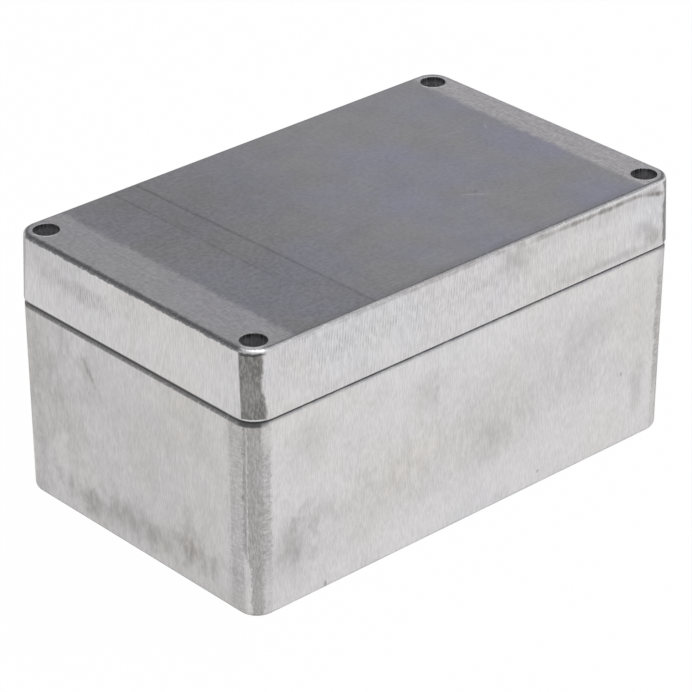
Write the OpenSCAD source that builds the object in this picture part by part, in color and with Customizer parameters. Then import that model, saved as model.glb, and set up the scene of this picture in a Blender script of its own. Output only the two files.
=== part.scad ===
// Die cast aluminium box with a deep lid: two castings, a seal in the lid's rim and four
// captive lid screws in the corners, outside the seal, beside the channels for the wall fixings.
// Millimetres, +Z up. The origin is on the underside, in the middle of the box.

/* [Box] */
// Length along X at the lid's rim
box_l = 160; // [130:5:260]
// Width along Y at the lid's rim
box_w = 100; // [90:5:200]
// Height of the base, from the underside up to the seam
base_h = 60.5; // [45:0.5:120]
// Height of the lid above the seam
lid_h = 20.5; // [18:0.5:40]
// Radius of the lid's upright corners at its rim
corner_r = 7; // [5:0.5:9]
// Distance that the lid's rim stands out past the base's
lid_overhang = 0.15; // [0.05:0.05:0.3]
// Distance that a side of the base leans in, from its rim to the underside
base_lean = 0.7; // [0.3:0.1:1.5]
// Distance that a side of the lid leans in, from its rim to the top
lid_lean = 0.7; // [0.3:0.1:1.5]
// Radius of the edge round the underside
foot_edge_r = 2; // [1:0.25:3]
// Radius of the edge round the top
top_edge_r = 1.2; // [0.6:0.1:2]
// Bevel on the lid's rim
seam_bevel = 0.3; // [0.1:0.05:0.6]
// Depth of the long bevel on the base's rim
rim_bevel_w = 0.5; // [0.2:0.05:0.7]
// Height of the long bevel on the base's rim
rim_bevel_h = 1.6; // [0.8:0.1:2.5]

/* [Walls] */
// Wall of the base at the seam, measured from the lid's outer face
wall_t = 4.5; // [3.5:0.1:5]
// Floor of the base
floor_t = 4; // [2.5:0.5:6]
// Top of the lid
lid_top_t = 3.5; // [2.5:0.25:5]
// Distance that an inner wall of the base leans in, from its mouth to the floor
base_inner_lean = 0.3; // [0.1:0.1:0.8]
// Distance that an inner wall of the lid leans in, from its mouth to the ceiling
lid_inner_lean = 0.2; // [0.1:0.1:0.5]
// Radius between the floor and the walls
floor_fillet_r = 2; // [1:0.25:2.5]
// Radius between the ceiling and the walls
ceiling_fillet_r = 1.5; // [0.5:0.25:1.75]

/* [Seal] */
// Width of the tongue on the base's rim
tongue_w = 1.8; // [1.2:0.1:2.2]
// Height of the tongue
tongue_h = 2.2; // [1.2:0.1:3]
// Bevel on the tongue's top edges
tongue_bevel = 0.3; // [0.1:0.1:0.5]
// Gap on each side of the tongue in the lid's groove
groove_gap = 0.5; // [0.3:0.1:0.6]
// Depth of the groove in the lid's rim
groove_depth = 4.2; // [3.5:0.1:6]
// Wall of the lid inside the groove
groove_lip_t = 1.4; // [1:0.1:1.8]
// Side gap of the gasket in its groove
gasket_gap = 0.05; // [0.02:0.01:0.1]
// Radius of the turns of the seal line, measured at the outer faces
turn_r = 9; // [8.5:0.25:9.25]
// Radius where the seal line rounds a corner block, measured the same way
block_r = 1; // [0.5:0.25:1.25]

/* [Lid screws] */
// Distance of a lid screw from the two outer faces of its corner
screw_inset = 7; // [6.5:0.25:8]
// Diameter of the screw's thread
screw_d = 4; // [3:0.5:4.5]
// Diameter of the screw's neck
neck_d = 3; // [2:0.1:3]
// Diameter of the screw's head
head_d = 7; // [5.5:0.25:7]
// Height of the screw's head
head_h = 2.6; // [2:0.1:3.5]
// Bevel on the head's top edge
head_bevel = 0.4; // [0.1:0.1:0.6]
// Width of the slot in the head
slot_w = 1.2; // [0.8:0.1:1.6]
// Depth of the slot in the head
slot_depth = 1.1; // [0.8:0.1:1.4]
// Gap between the head and the wall of its deep hole
head_gap = 0.25; // [0.2:0.05:0.4]
// Gap between the thread and the hole through the lid
clearance_gap = 0.25; // [0.15:0.05:0.4]
// Gap between the thread and its tapped hole
thread_gap = 0.05; // [0.02:0.01:0.1]
// Thickness of the lid under the screw's head
seat_t = 6; // [4:0.5:8]
// Rise of a loosened screw before its ring stops it in the lid
screw_rise = 8; // [7:0.5:9]
// Length of thread that holds in the base
grip_l = 7.5; // [5:0.25:7.5]
// Depth left under the screw's point
point_gap = 2.5; // [1:0.5:4]
// Bevel on the screw's point
point_bevel = 0.7; // [0.3:0.1:1]
// Bevel on the mouths of the deep holes
mouth_bevel = 0.1; // [0.1:0.05:0.5]

/* [Retaining rings] */
// Diameter of the ring on the screw's neck
ring_d = 7.8; // [6:0.1:8]
// Thickness of the ring
ring_t = 1.2; // [0.8:0.1:2]
// Gap between the ring and the neck
ring_bore_gap = 0.05; // [0.02:0.01:0.1]
// Gap round the ring, and below it, in the base
ring_gap = 0.4; // [0.3:0.05:0.5]

/* [Wall fixings] */
// Distance of a wall fixing from the lid screw beside it
fixing_offset = 11; // [10.5:0.25:12]
// Diameter of the channel that takes the fixing's head
channel_d = 8.5; // [7.5:0.25:8.75]
// Diameter of the hole through the channel's floor
fixing_d = 4.5; // [3.5:0.25:5.5]
// Thickness of the channel's floor
channel_floor_t = 5; // [3:0.5:8]
// Metal between a channel and the tongue
channel_land = 2; // [1.5:0.25:2.5]
// Depth of the lid's coring pocket over a channel
pocket_depth = 13; // [8:0.5:14]
// Draft of the coring pocket on its diameter
pocket_draft = 0.5; // [0.2:0.1:1]

/* [Floor bosses] */
// Spacing of the bosses along X
boss_span_x = 110; // [60:5:112]
// Spacing of the bosses along Y
boss_span_y = 70; // [40:5:72]
// Diameter of a boss at its top
boss_d = 8; // [7:0.5:10]
// Draft of a boss on its diameter
boss_draft = 1; // [0.4:0.2:2]
// Height of a boss above the floor
boss_h = 8; // [5:0.5:15]
// Diameter of the bore that is tapped in a boss
boss_bore_d = 3.3; // [2.5:0.1:4.2]
// Depth of that bore
boss_bore_depth = 9; // [6:0.5:10]

/* [Earth terminal] */
// Distance of the earth terminal from the outer face of the end wall
earth_inset = 13; // [12:0.5:20]
// Diameter of the earth boss at its top
earth_boss_d = 12; // [11:0.5:14]
// Height of the earth boss above the floor
earth_boss_h = 6; // [5:0.5:10]
// Diameter of the earth screw's thread
earth_screw_d = 4; // [3:0.5:5]
// Length of the earth screw under its head
earth_screw_l = 8; // [7:0.5:9]
// Depth of the earth screw's bore below the boss's top
earth_bore_depth = 8; // [7:0.5:9]
// Diameter of the earth screw's head
earth_head_d = 8; // [7:0.25:8.5]
// Height of the earth screw's head
earth_head_h = 2.6; // [2:0.1:3]
// Side of the square clamp washer
clamp_w = 11; // [10:0.5:12]
// Sheet thickness of the clamp washer
clamp_t = 1.2; // [0.8:0.1:1.4]
// Height of the clamp washer's turned-up edges above its sheet
clamp_lip_h = 1.5; // [0.8:0.1:2.5]
// Outer diameter of the spring washer
spring_d = 7.6; // [6.5:0.1:8]
// Thickness of the spring washer
spring_t = 0.9; // [0.7:0.1:1.2]
// Width of the cut in the spring washer
spring_cut_w = 0.8; // [0.4:0.1:1.5]

/* [Hidden] */
$fn = 64;
// A cutting tool runs this far past the face that it opens through
past = 1;

casting_colour = [0.72, 0.72, 0.73];
lid_colour = [0.62, 0.63, 0.64];
steel_colour = [0.82, 0.82, 0.8];
rubber_colour = [0.12, 0.12, 0.13];
ring_colour = [0.9, 0.89, 0.84];

seam_z = base_h;
top_z = base_h + lid_h;

// Corner centres of the outer faces, and the radius of the base's corners at its rim
corner_x = box_l / 2 - corner_r;
corner_y = box_w / 2 - corner_r;
base_corner_r = corner_r - lid_overhang;

// Lid screws and wall fixings
screw_x = box_l / 2 - screw_inset;
screw_y = box_w / 2 - screw_inset;
fixing_y = screw_y - fixing_offset;
seat_z = seam_z + seat_t;
shoulder_z = seam_z - screw_rise - ring_t;
ring_floor_z = shoulder_z - ring_gap;
point_z = ring_floor_z - grip_l;

// The seal line steps round each corner block. These four lines are where it would run at no
// distance from the outer faces and from the corner blocks; every seal part is inset from them.
land_w = wall_t - tongue_w;
end_line_x = box_l / 2;
side_line_y = box_w / 2;
step_line_x = screw_x - channel_d / 2 - channel_land + land_w;
step_line_y = fixing_y - channel_d / 2 - channel_land + land_w;

// Centres of the turns in the first quarter
end_turn_x = end_line_x - turn_r;
end_turn_y = step_line_y - turn_r;
side_turn_x = step_line_x - turn_r;
side_turn_y = side_line_y - turn_r;
block_turn_x = step_line_x + block_r;
block_turn_y = step_line_y + block_r;

groove_w = tongue_w + 2 * groove_gap;
groove_inset = land_w - groove_gap;
lid_wall_t = groove_inset + groove_w + groove_lip_t;

earth_x = box_l / 2 - earth_inset;
earth_z = floor_t + earth_boss_h;

// Distance from a turn's centre to a line that is inset from the seal line
function reach(inset) = turn_r - inset;

// Half section of a box shape, from the centre of its upright corners outwards: it is as wide
// as "end" at height 0, where its edge is rounded, and leans out to "open" at the full height.
module leaning_section(end, open, height, edge_r, bevel_w = 0, bevel_h = 0, over = 0) {
    lean = atan((open - end) / height);
    round_x = end + edge_r * (tan(lean) - 1 / cos(lean));
    translate([round_x, edge_r]) intersection() {
        circle(edge_r);
        translate([0, -edge_r]) square(edge_r);
    }
    polygon([
        [0, 0],
        [round_x, 0],
        [round_x + edge_r * cos(lean), edge_r * (1 - sin(lean))],
        if (bevel_h > 0) [open - bevel_h * tan(lean), height - bevel_h],
        [open - bevel_w, height],
        if (over > 0) [open, height + over],
        [0, height + over]
    ]);
}

// Carries a half section round a rectangle whose corner centres are at cx, cy, and fills it
module rounded_block(cx, cy, height) {
    translate([-cx, -cy, 0]) cube([2 * cx, 2 * cy, height]);
    for (side = [0, 1]) {
        mirror([side, 0, 0]) translate([cx, cy, 0])
            rotate([90, 0, 0]) linear_extrude(2 * cy) children();
        mirror([0, side, 0]) translate([-cx, cy, 0])
            rotate([90, 0, 90]) linear_extrude(2 * cx) children();
    }
    each_corner() translate([cx, cy, 0]) rotate_extrude(angle = 90) children();
}

// Repeats a piece of the first quarter in all four
module each_corner() {
    for (side = [0, 1], end = [0, 1])
        mirror([side, 0, 0]) mirror([0, end, 0]) children();
}

// Carries a half section along the seal line. The section's x is measured from the centres of
// the turns, out towards the corner blocks and the outer faces.
module along_seal_line() {
    for (side = [0, 1]) {
        mirror([side, 0, 0]) translate([end_turn_x, end_turn_y, 0])
            rotate([90, 0, 0]) linear_extrude(2 * end_turn_y) children();
        mirror([0, side, 0]) translate([-side_turn_x, side_turn_y, 0])
            rotate([90, 0, 90]) linear_extrude(2 * side_turn_x) children();
    }
    each_corner() {
        for (turn = [[end_turn_x, end_turn_y], [side_turn_x, side_turn_y]])
            translate(turn) rotate_extrude(angle = 90) children();
        translate([block_turn_x, block_turn_y, 0]) rotate([0, 0, 180])
            rotate_extrude(angle = 90) translate([block_r + turn_r, 0]) mirror([1, 0]) children();
        translate([block_turn_x, end_turn_y, 0]) rotate([90, 0, 90])
            linear_extrude(end_turn_x - block_turn_x) children();
        translate([side_turn_x, side_turn_y, 0]) rotate([90, 0, 0])
            linear_extrude(side_turn_y - block_turn_y) children();
    }
}

// The cross-shaped middle of the inside, up to the centres of the seal line's turns
module middle_outline() {
    bend_r = block_r + turn_r;
    square([2 * end_turn_x, 2 * end_turn_y], center = true);
    square([2 * side_turn_x, 2 * side_turn_y], center = true);
    each_corner() difference() {
        translate([side_turn_x, end_turn_y]) square(bend_r);
        translate([block_turn_x, block_turn_y]) circle(bend_r);
    }
}

// Inside space of a casting: its rounded end at height 0, its mouth at the full height
module inside_space(wall, lean, height, fillet_r) {
    linear_extrude(height + past) middle_outline();
    along_seal_line()
        leaning_section(reach(wall) - lean, reach(wall), height, fillet_r, over = past);
}

// Places that repeat in the corners
module at_screws() {
    each_corner() translate([screw_x, screw_y, 0]) children();
}

module at_fixings() {
    each_corner() translate([screw_x, fixing_y, 0]) children();
}

// Upright cylinder from one height to another
module upright(d, z0, z1) {
    translate([0, 0, z0]) cylinder(d = d, h = z1 - z0);
}

module base() {
    color(casting_colour) {
        difference() {
            union() {
                difference() {
                    rounded_block(corner_x, corner_y, base_h)
                        leaning_section(base_corner_r - base_lean, base_corner_r, base_h,
                            foot_edge_r, bevel_w = rim_bevel_w, bevel_h = rim_bevel_h);
                    translate([0, 0, floor_t])
                        inside_space(wall_t, base_inner_lean, base_h - floor_t, floor_fillet_r);
                }
                floor_bosses();
                earth_boss();
            }
            at_screws() {
                upright(ring_d + 2 * ring_gap, ring_floor_z, seam_z + past);
                upright(screw_d + 2 * thread_gap, point_z - point_gap, seam_z);
            }
            at_fixings() {
                upright(channel_d, channel_floor_t, seam_z + past);
                upright(fixing_d, -past, seam_z);
            }
            each_corner() translate([boss_span_x / 2, boss_span_y / 2, 0])
                upright(boss_bore_d, floor_t + boss_h - boss_bore_depth, floor_t + boss_h + past);
            translate([earth_x, 0, 0])
                upright(earth_screw_d + 2 * thread_gap, earth_z - earth_bore_depth, earth_z + past);
        }
        tongue();
    }
}

// Tongue that presses into the gasket, flush with the inside of the base's wall
module tongue() {
    inner = reach(wall_t);
    outer = inner + tongue_w;
    top = seam_z + tongue_h;
    along_seal_line() polygon([
        [inner, seam_z],
        [outer, seam_z],
        [outer, top - tongue_bevel],
        [outer - tongue_bevel, top],
        [inner + tongue_bevel, top],
        [inner, top - tongue_bevel]
    ]);
}

module floor_bosses() {
    each_corner() translate([boss_span_x / 2, boss_span_y / 2, floor_t - past])
        cylinder(d1 = boss_d + boss_draft, d2 = boss_d, h = boss_h + past);
}

module earth_boss() {
    translate([earth_x, 0, floor_t - past])
        cylinder(d1 = earth_boss_d + boss_draft, d2 = earth_boss_d, h = earth_boss_h + past);
}

module lid() {
    color(lid_colour) difference() {
        translate([0, 0, top_z]) mirror([0, 0, 1])
            rounded_block(corner_x, corner_y, lid_h)
                leaning_section(corner_r - lid_lean, corner_r, lid_h, top_edge_r,
                    bevel_w = seam_bevel, bevel_h = seam_bevel);
        translate([0, 0, top_z - lid_top_t]) mirror([0, 0, 1])
            inside_space(lid_wall_t, lid_inner_lean, lid_h - lid_top_t, ceiling_fillet_r);
        groove();
        at_screws() {
            upright(head_d + 2 * head_gap, seat_z, top_z + past);
            upright(screw_d + 2 * clearance_gap, seam_z - past, top_z);
            mouth();
        }
        at_fixings() translate([0, 0, seam_z - past])
            cylinder(d1 = channel_d, d2 = channel_d - pocket_draft, h = pocket_depth + past);
    }
}

// Groove round the lid's rim that holds the gasket
module groove() {
    along_seal_line() translate([reach(groove_inset + groove_w), seam_z - past])
        square([groove_w, groove_depth + past]);
}

// Bevel on the mouth of a screw's deep hole
module mouth() {
    mouth_r = head_d / 2 + head_gap;
    translate([0, 0, top_z - mouth_bevel])
        cylinder(r1 = mouth_r, r2 = mouth_r + mouth_bevel + past, h = mouth_bevel + past);
}

// Gasket as it lies in its groove, pressed down to the room that the tongue leaves
module lid_gasket() {
    color(rubber_colour)
        along_seal_line()
            translate([reach(groove_inset + groove_w) + gasket_gap, seam_z + tongue_h])
                square([groove_w - 2 * gasket_gap, groove_depth - tongue_h]);
}

// Slotted cheese-head screw with a thin neck, which its ring slides on
module lid_screw() {
    head_r = head_d / 2;
    head_top_z = seat_z + head_h;
    color(steel_colour) difference() {
        rotate_extrude() polygon([
            [0, point_z],
            [screw_d / 2 - point_bevel, point_z],
            [screw_d / 2, point_z + point_bevel],
            [screw_d / 2, shoulder_z],
            [neck_d / 2, shoulder_z],
            [neck_d / 2, seat_z],
            [head_r, seat_z],
            [head_r, head_top_z - head_bevel],
            [head_r - head_bevel, head_top_z],
            [0, head_top_z]
        ]);
        slot(head_d, head_top_z, slot_depth);
    }
}

// Driver slot across a head whose top is at height z
module slot(across, z, depth) {
    translate([-across / 2 - past, -slot_w / 2, z - depth])
        cube([across + 2 * past, slot_w, depth + past]);
}

// Ring on a screw's neck, resting on the end of the thread
module screw_ring() {
    color(ring_colour) difference() {
        upright(ring_d, shoulder_z, shoulder_z + ring_t);
        upright(neck_d + 2 * ring_bore_gap, shoulder_z - past, shoulder_z + ring_t + past);
    }
}

// Pan-head screw of the earth terminal
module earth_screw() {
    seat = earth_z + clamp_t + spring_t;
    head_top = seat + earth_head_h;
    color(steel_colour) translate([earth_x, 0, 0]) difference() {
        union() {
            upright(earth_screw_d, seat - earth_screw_l, seat);
            intersection() {
                upright(earth_head_d, seat, head_top);
                translate([0, 0, head_top - earth_head_d]) sphere(earth_head_d);
            }
        }
        slot(earth_head_d, head_top, slot_depth);
    }
}

// Split spring washer between the clamp washer and the earth screw's head
module earth_spring_washer() {
    bottom = earth_z + clamp_t;
    color(steel_colour) translate([earth_x, 0, 0]) difference() {
        upright(spring_d, bottom, bottom + spring_t);
        upright(earth_screw_d + 2 * thread_gap, bottom - past, bottom + spring_t + past);
        translate([0, -spring_cut_w / 2, bottom - past])
            cube([spring_d, spring_cut_w, spring_t + 2 * past]);
    }
}

// Square washer with two edges turned up, which clamps the earth wire on its boss
module earth_clamp_washer() {
    lip_z = clamp_t + clamp_lip_h;
    half = clamp_w / 2;
    color(steel_colour) translate([earth_x, 0, earth_z]) difference() {
        translate([0, half, 0]) rotate([90, 0, 0]) linear_extrude(clamp_w) polygon([
            [-half, 0],
            [half, 0],
            [half, lip_z],
            [half - clamp_t, lip_z],
            [half - clamp_t, clamp_t],
            [clamp_t - half, clamp_t],
            [clamp_t - half, lip_z],
            [-half, lip_z]
        ]);
        upright(earth_screw_d + 2 * thread_gap, -past, lip_z);
    }
}

// Sets a screw or a ring in one corner: front is towards -Y, left is towards -X
module in_corner(x_sign, y_sign) {
    translate([x_sign * screw_x, y_sign * screw_y, 0]) children();
}

base();
lid();
lid_gasket();
in_corner(-1, -1) lid_screw();  // lid_screw_front_left
in_corner(1, -1) lid_screw();  // lid_screw_front_right
in_corner(-1, 1) lid_screw();  // lid_screw_back_left
in_corner(1, 1) lid_screw();  // lid_screw_back_right
in_corner(-1, -1) screw_ring();  // screw_ring_front_left
in_corner(1, -1) screw_ring();  // screw_ring_front_right
in_corner(-1, 1) screw_ring();  // screw_ring_back_left
in_corner(1, 1) screw_ring();  // screw_ring_back_right
earth_screw();
earth_spring_washer();
earth_clamp_washer();
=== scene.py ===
"""Looks of a die cast aluminium box: two castings with ground sides, a seal and captive screws."""

import logging
import math
from collections.abc import Mapping, Sequence
from dataclasses import dataclass, replace
from enum import Enum
from typing import ClassVar

import bpy
from mathutils import Euler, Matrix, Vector


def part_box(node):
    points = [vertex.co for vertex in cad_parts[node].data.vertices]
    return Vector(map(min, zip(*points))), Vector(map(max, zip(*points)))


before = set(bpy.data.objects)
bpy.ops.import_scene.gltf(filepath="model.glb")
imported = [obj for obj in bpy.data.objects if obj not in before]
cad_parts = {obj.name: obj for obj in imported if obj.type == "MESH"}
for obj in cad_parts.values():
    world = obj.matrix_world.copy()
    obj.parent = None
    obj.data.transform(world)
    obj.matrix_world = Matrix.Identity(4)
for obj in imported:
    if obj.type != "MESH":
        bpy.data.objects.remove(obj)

log = logging.getLogger("box")

MM = 0.001

Triple = tuple[float, float, float]


class Stain(Enum):
    """What a smudge does to the metal under it."""

    DARK = "dark"
    LIGHT = "light"
    CHATTER = "chatter"


class Face(Enum):
    """A face of the box. A side has the turn about Z, in degrees, that brings it to the front."""

    FRONT = 0.0
    RIGHT = -90.0
    BACK = 180.0
    LEFT = 90.0
    TOP = None


# ---- Writing shader nodes ----


class Signal:
    """A number, place or colour that a shader works out at each point.

    The usual operators add the Math node for the sum.
    """

    def __init__(self, graph: "Graph", socket: bpy.types.NodeSocket) -> None:
        """Take an output of one of the graph's nodes."""
        self.graph = graph
        self.socket = socket

    def __add__(self, other: "Value") -> "Signal":
        """Add a value."""
        return self.graph.math("ADD", self, other)

    def __sub__(self, other: "Value") -> "Signal":
        """Take a value away."""
        return self.graph.math("SUBTRACT", self, other)

    def __rsub__(self, other: float) -> "Signal":
        """Take this from a number."""
        return self.graph.math("SUBTRACT", other, self)

    def __mul__(self, other: "Value") -> "Signal":
        """Multiply by a value."""
        return self.graph.math("MULTIPLY", self, other)

    def __truediv__(self, other: "Value") -> "Signal":
        """Divide by a value."""
        return self.graph.math("DIVIDE", self, other)

    def __rtruediv__(self, other: float) -> "Signal":
        """Divide a number by this."""
        return self.graph.math("DIVIDE", other, self)

    def __abs__(self) -> "Signal":
        """Drop the sign."""
        return self.graph.math("ABSOLUTE", self)

    __radd__ = __add__
    __rmul__ = __mul__

    def at_least(self, floor: "Value") -> "Signal":
        """Raise it to another value where it is lower."""
        return self.graph.math("MAXIMUM", self, floor)

    def fade(self, none: "Value", full: "Value", low: "Value" = 0.0, high: "Value" = 1.0) -> "Signal":
        """Turn a number into a soft mask, from low where it equals none to high where it equals full."""
        given = dict(enumerate((self, none, full, low, high)))
        return self.graph.out(self.graph.node("ShaderNodeMapRange", given, interpolation_type="SMOOTHSTEP"))

    def stripe(self, middle: "Value", half: float, soft: float) -> "Signal":
        """Mask a stripe, from its middle, half of its width and the width of its soft edges."""
        return (abs(self - middle) - half).fade(soft / 2, -soft / 2)

    def split(self) -> list["Signal"]:
        """Part a place into its three numbers."""
        apart = self.graph.node("ShaderNodeSeparateXYZ", {0: self})
        return [Signal(self.graph, part) for part in apart.outputs]

    def stretch(
        self, scale: Triple, shift: Triple = (0, 0, 0), turn: Triple = (0, 0, 0), kind: str = "POINT"
    ) -> "Signal":
        """Turn, scale and move a place before something is looked up there.

        Args:
            scale: Its scale along each axis.
            shift: How far it moves along each axis.
            turn: Its turn about each axis, in degrees.
            kind: POINT, or TEXTURE for the way back.

        Returns:
            The changed place.
        """
        spun = [math.radians(angle) for angle in turn]
        given = {"Vector": self, "Location": shift, "Rotation": spun, "Scale": scale}
        return self.graph.out(self.graph.node("ShaderNodeMapping", given, vector_type=kind))

    def noise(self, scale: "Value", detail: float = 2.0, rough: float = 0.5) -> "Signal":
        """Look a place up in a noise, about 0.5 on average, with finer layers as strong as rough."""
        given = {"Vector": self, "Scale": scale, "Detail": detail, "Roughness": rough}
        return self.graph.out(self.graph.node("ShaderNodeTexNoise", given))

    def sway(self, scale: float, reach: float, detail: float = 2.0, rough: float = 0.5) -> "Signal":
        """Look a place up in a noise that sways about 0, by its reach to either side."""
        return self.noise(scale, detail, rough).fade(0.3, 0.7, -reach, reach)

    def within(self, middle: Triple, reach: Triple, turn: Triple) -> "Signal":
        """Measure how far out a place is in a turned ellipsoid: 0 in its middle and 1 on it."""
        inner = {0: self.stretch(reach, middle, turn, kind="TEXTURE")}
        return self.graph.out(self.graph.node("ShaderNodeVectorMath", inner, operation="LENGTH"), "Value")


Value = float | Signal
Colour = Triple | Signal


class Graph:
    """Writes the nodes of one shader tree, left to right."""

    column_width: ClassVar[int] = 180

    def __init__(self, tree: bpy.types.NodeTree) -> None:
        """Start on a tree."""
        self.tree = tree
        self.column = 0

    def node(
        self, kind: str, given: Mapping[str | int, Value | Sequence[float]] | None = None, **settings: object
    ) -> bpy.types.Node:
        """Add one node.

        Args:
            kind: The node's Blender type.
            given: What its inputs take, by name or number.
            settings: Attributes to set on it.

        Returns:
            The new node.
        """
        made = self.tree.nodes.new(kind)
        made.location = (self.column * self.column_width, 0)
        self.column += 1
        for name, value in settings.items():
            setattr(made, name, value)
        for label, value in (given or {}).items():
            self.feed(made.inputs[label], value)
        return made

    def feed(self, socket: bpy.types.NodeSocket, value: Value | Sequence[float]) -> None:
        """Link a signal to an input, or set the input to a constant.

        Args:
            socket: The input.
            value: A signal, number, vector or colour.
        """
        if isinstance(value, Signal):
            self.tree.links.new(value.socket, socket)
        elif socket.type == "RGBA":
            socket.default_value = (*value, 1.0)
        else:
            socket.default_value = value

    def out(self, node: bpy.types.Node, which: str | int = 0) -> Signal:
        """Take one of a node's outputs, by name or number."""
        return Signal(self, node.outputs[which])

    def math(self, operation: str, *values: Value) -> Signal:
        """Add the Math node of an operation, with its operands."""
        return self.out(self.node("ShaderNodeMath", dict(enumerate(values)), operation=operation))

    def hypot(self, wide: Signal, high: Signal) -> Signal:
        """Give the diagonal of two lengths at a right angle."""
        return self.math("SQRT", wide * wide + high * high)

    def colour(self, share: Value, under: Colour, over: Colour) -> Signal:
        """Lay one colour over another, of which a share shows."""
        return self.out(self.node("ShaderNodeMix", {0: share, 6: under, 7: over}, data_type="RGBA"), 2)

    def place_in_mm(self) -> Signal:
        """Give the place on the object, in millimetres."""
        return self.out(self.node("ShaderNodeTexCoord"), "Object").stretch((1 / MM, 1 / MM, 1 / MM))


class NodeMaterial:
    """A material with a shader to feed."""

    def __init__(self, name: str) -> None:
        """Start the material.

        Args:
            name: Its name.
        """
        self.material = bpy.data.materials.new(name)
        self.material.use_nodes = True
        self.graph = Graph(self.material.node_tree)
        self.shader = self.material.node_tree.nodes["Principled BSDF"]

    def feed(self, label: str, value: Value | Sequence[float]) -> None:
        """Feed one of the shader's inputs."""
        self.graph.feed(self.shader.inputs[label], value)

    def raise_by(self, height: Signal, depth: float) -> None:
        """Give the surface a fine relief: its height, and the depth in millimetres that 1 stands for."""
        given = {"Strength": 0.5, "Distance": depth * MM, "Height": height}
        self.feed("Normal", self.graph.out(self.graph.node("ShaderNodeBump", given)))


@dataclass
class Coat:
    """A colour that takes layer upon layer."""

    graph: Graph
    colour: Colour

    def lay(self, over: Colour, share: Value) -> None:
        """Lay a colour over it, of which a share shows."""
        self.colour = self.graph.colour(share, self.colour, over)


class EffectGroup:
    """A shader node group that several finishes share."""

    name: ClassVar[str] = ""
    takes: ClassVar[dict[str, float]] = {}
    gives: ClassVar[tuple[str, ...]] = ("Mask",)

    def __init__(self) -> None:
        """Build the group's tree."""
        self.tree = bpy.data.node_groups.new(self.name, "ShaderNodeTree")
        for label, value in self.takes.items():
            socket = self.tree.interface.new_socket(label, in_out="INPUT", socket_type="NodeSocketFloat")
            socket.default_value = value
        for label in self.gives:
            self.tree.interface.new_socket(label, in_out="OUTPUT", socket_type="NodeSocketFloat")
        graph = Graph(self.tree)
        start = graph.node("NodeGroupInput")
        made = self.build(graph, {label: graph.out(start, label) for label in self.takes})
        graph.node("NodeGroupOutput", made)

    def build(self, graph: Graph, given: dict[str, Signal]) -> dict[str, Signal]:
        """Write the group's nodes from its inputs, and give what each output is fed."""
        raise NotImplementedError

    def place(self, graph: Graph, **given: Value) -> dict[str, Signal]:
        """Put the group in a material.

        Args:
            graph: The material's tree.
            given: Values for the inputs, with underscores for spaces.

        Returns:
            The group's outputs by name.
        """
        inputs = {label.replace("_", " "): value for label, value in given.items()}
        made = graph.node("ShaderNodeGroup", inputs, node_tree=self.tree)
        return {label: graph.out(made, label) for label in self.gives}

    def mask(self, graph: Graph, **given: Value) -> Signal:
        """Put the group in a material, and take its mask."""
        return self.place(graph, **given)["Mask"]


class BoxPlace(EffectGroup):
    """Where a point is on a box whose sides lean in, both ways from its seam, in millimetres.

    Depth is how far it is inside the outer faces, up to the corner radius. Turn is 0 on the
    short sides, 1 on the long ones, and runs from one to the other round each corner. Arc is
    the way round from the end of a short side, so it is below 0 on that side.
    """

    name = "box_place"
    takes = {
        "Half Length": 80.0, "Half Width": 50.0, "Corner Radius": 7.0,
        "Seam": 60.5, "Lean": 0.01, "Inset": 0.0,
    }
    gives = ("Along", "Across", "Height", "Depth", "Turn", "Arc")
    least: ClassVar[float] = 0.0001

    def build(self, graph: Graph, given: dict[str, Signal]) -> dict[str, Signal]:
        """Measure from the leaning faces, and round the corners' centres.

        Args:
            graph: The group's tree.
            given: The group's inputs by name.

        Returns:
            What each output is fed.
        """
        x, y, z = graph.place_in_mm().split()
        radius = given["Corner Radius"]
        leant = abs(z - given["Seam"]) * given["Lean"] + given["Inset"]
        end_gap = given["Half Length"] - leant - abs(x)
        side_gap = given["Half Width"] - leant - abs(y)
        out_x = (radius - end_gap).at_least(self.least)
        out_y = (radius - side_gap).at_least(self.least)
        turn = graph.math("ARCTAN2", out_y, out_x)
        past_end = (end_gap - radius).at_least(0.0)
        short_of_it = (side_gap - radius).at_least(0.0)
        return {
            "Along": x,
            "Across": y,
            "Height": z,
            "Depth": radius - graph.hypot(out_x, out_y),
            "Turn": turn / (math.pi / 2),
            "Arc": turn * radius + past_end - short_of_it,
        }


class GroundGrain(EffectGroup):
    """Short upright lines left by a grinding belt, and rows of chatter ticks that lean."""

    name = "ground_grain"
    takes = {"Fineness": 1.0}
    gives = ("Line", "Streak", "Chatter")
    line_scale: ClassVar[Triple] = (2.4, 2.4, 0.35)
    streak_scale: ClassVar[Triple] = (0.7, 0.7, 0.17)
    row_tilt: ClassVar[float] = 9.0

    def build(self, graph: Graph, given: dict[str, Signal]) -> dict[str, Signal]:
        """Stretch two noises upright, and break thin bands into ticks that go from 0 to 1.

        Args:
            graph: The group's tree.
            given: The group's inputs by name.

        Returns:
            What each output is fed.
        """
        spot = graph.place_in_mm()
        fine = spot.stretch(self.line_scale).noise(given["Fineness"], detail=2, rough=0.6)
        streak = spot.stretch(self.streak_scale).noise(given["Fineness"], detail=3, rough=0.6)
        x, y, z = spot.split()
        flat = graph.out(graph.node("ShaderNodeCombineXYZ", {0: x + y, 1: z}))
        slanted = flat.stretch((1, 1, 1), turn=(0, 0, self.row_tilt))
        waves = {"Vector": slanted, "Scale": 0.33, "Distortion": 1.8, "Detail": 2.0, "Detail Scale": 0.7}
        bands = graph.out(graph.node("ShaderNodeTexWave", waves), 1)
        pieces = flat.stretch((0.5, 0.42, 1)).noise(1.0, detail=1)
        ticks = bands.fade(0.1, 0.9) * pieces.fade(0.3, 0.62)
        return {"Line": fine, "Streak": streak, "Chatter": ticks}


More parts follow.
